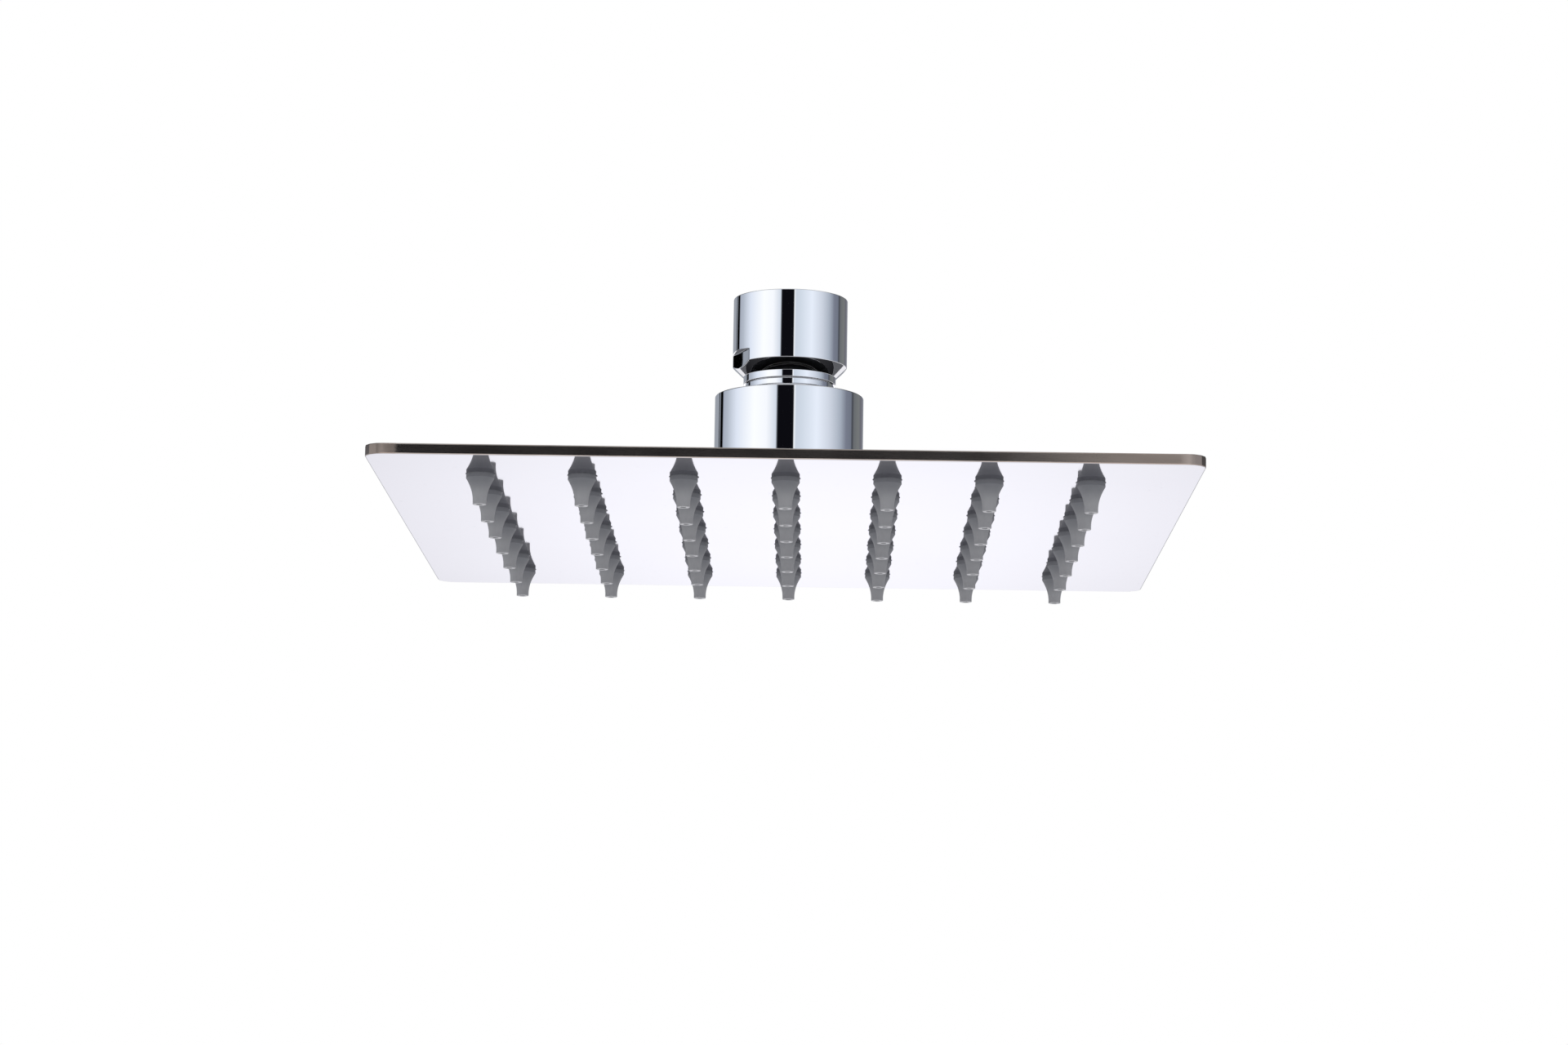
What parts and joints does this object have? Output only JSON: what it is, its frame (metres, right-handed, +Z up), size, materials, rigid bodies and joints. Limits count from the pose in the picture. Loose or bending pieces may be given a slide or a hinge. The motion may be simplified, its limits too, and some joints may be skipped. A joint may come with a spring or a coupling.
{
  "type": "rain shower head",
  "caption": "Square flat overhead rain shower head: thin polished steel spray plate with soft nozzles, hung from a chromed swivel ball connector with an inlet thread.",
  "frame": {"origin": "centre of the inlet thread's mouth, on the top face of the ball nut", "axes": "+Z up along the inlet thread's axis, towards the shower arm; X and Y along the sides of the square plate"},
  "size_m": [0.152, 0.152, 0.052],
  "materials": {
    "chrome_brass": "brass with bright chrome plate",
    "plate_steel": "polished stainless sheet",
    "screen_steel": "fine stainless mesh",
    "washer_rubber": "matt black rubber",
    "seal_rubber": "matt black rubber",
    "seat_plastic": "white acetal",
    "nozzle_silicone": "grey silicone, satin"
  },
  "bodies": {
    "connector": {"ball_nut": "chrome_brass"},
    "inlet_filter": {"inlet_washer": "washer_rubber", "filter_screen": "screen_steel"},
    "ball_seat": {"seat_ring": "seat_plastic"},
    "head": {"collar": "chrome_brass", "inlet_boss": "chrome_brass", "ball_seal": "seal_rubber", "back_plate": "plate_steel", "face_plate": "plate_steel", "nozzle_row_1": "nozzle_silicone", "nozzle_row_2": "nozzle_silicone", "nozzle_row_3": "nozzle_silicone", "nozzle_row_4": "nozzle_silicone", "nozzle_row_5": "nozzle_silicone", "nozzle_row_6": "nozzle_silicone", "nozzle_row_7": "nozzle_silicone"}
  },
  "joints": [
    {"name": "swivel_turn", "type": "hinge", "parent": "connector", "child": "inlet_filter", "pos_m": [0, 0, -0.02711], "axis": [0, 0, 1], "continuous": true},
    {"name": "swivel_tilt", "type": "hinge", "parent": "inlet_filter", "child": "ball_seat", "pos_m": [0, 0, -0.02711], "axis": [1, 0, 0], "range_deg": [-15, 15]},
    {"name": "head_turn", "type": "hinge", "parent": "ball_seat", "child": "head", "pos_m": [0, 0, -0.02711], "axis": [0, 0, 1], "continuous": true}
  ]
}
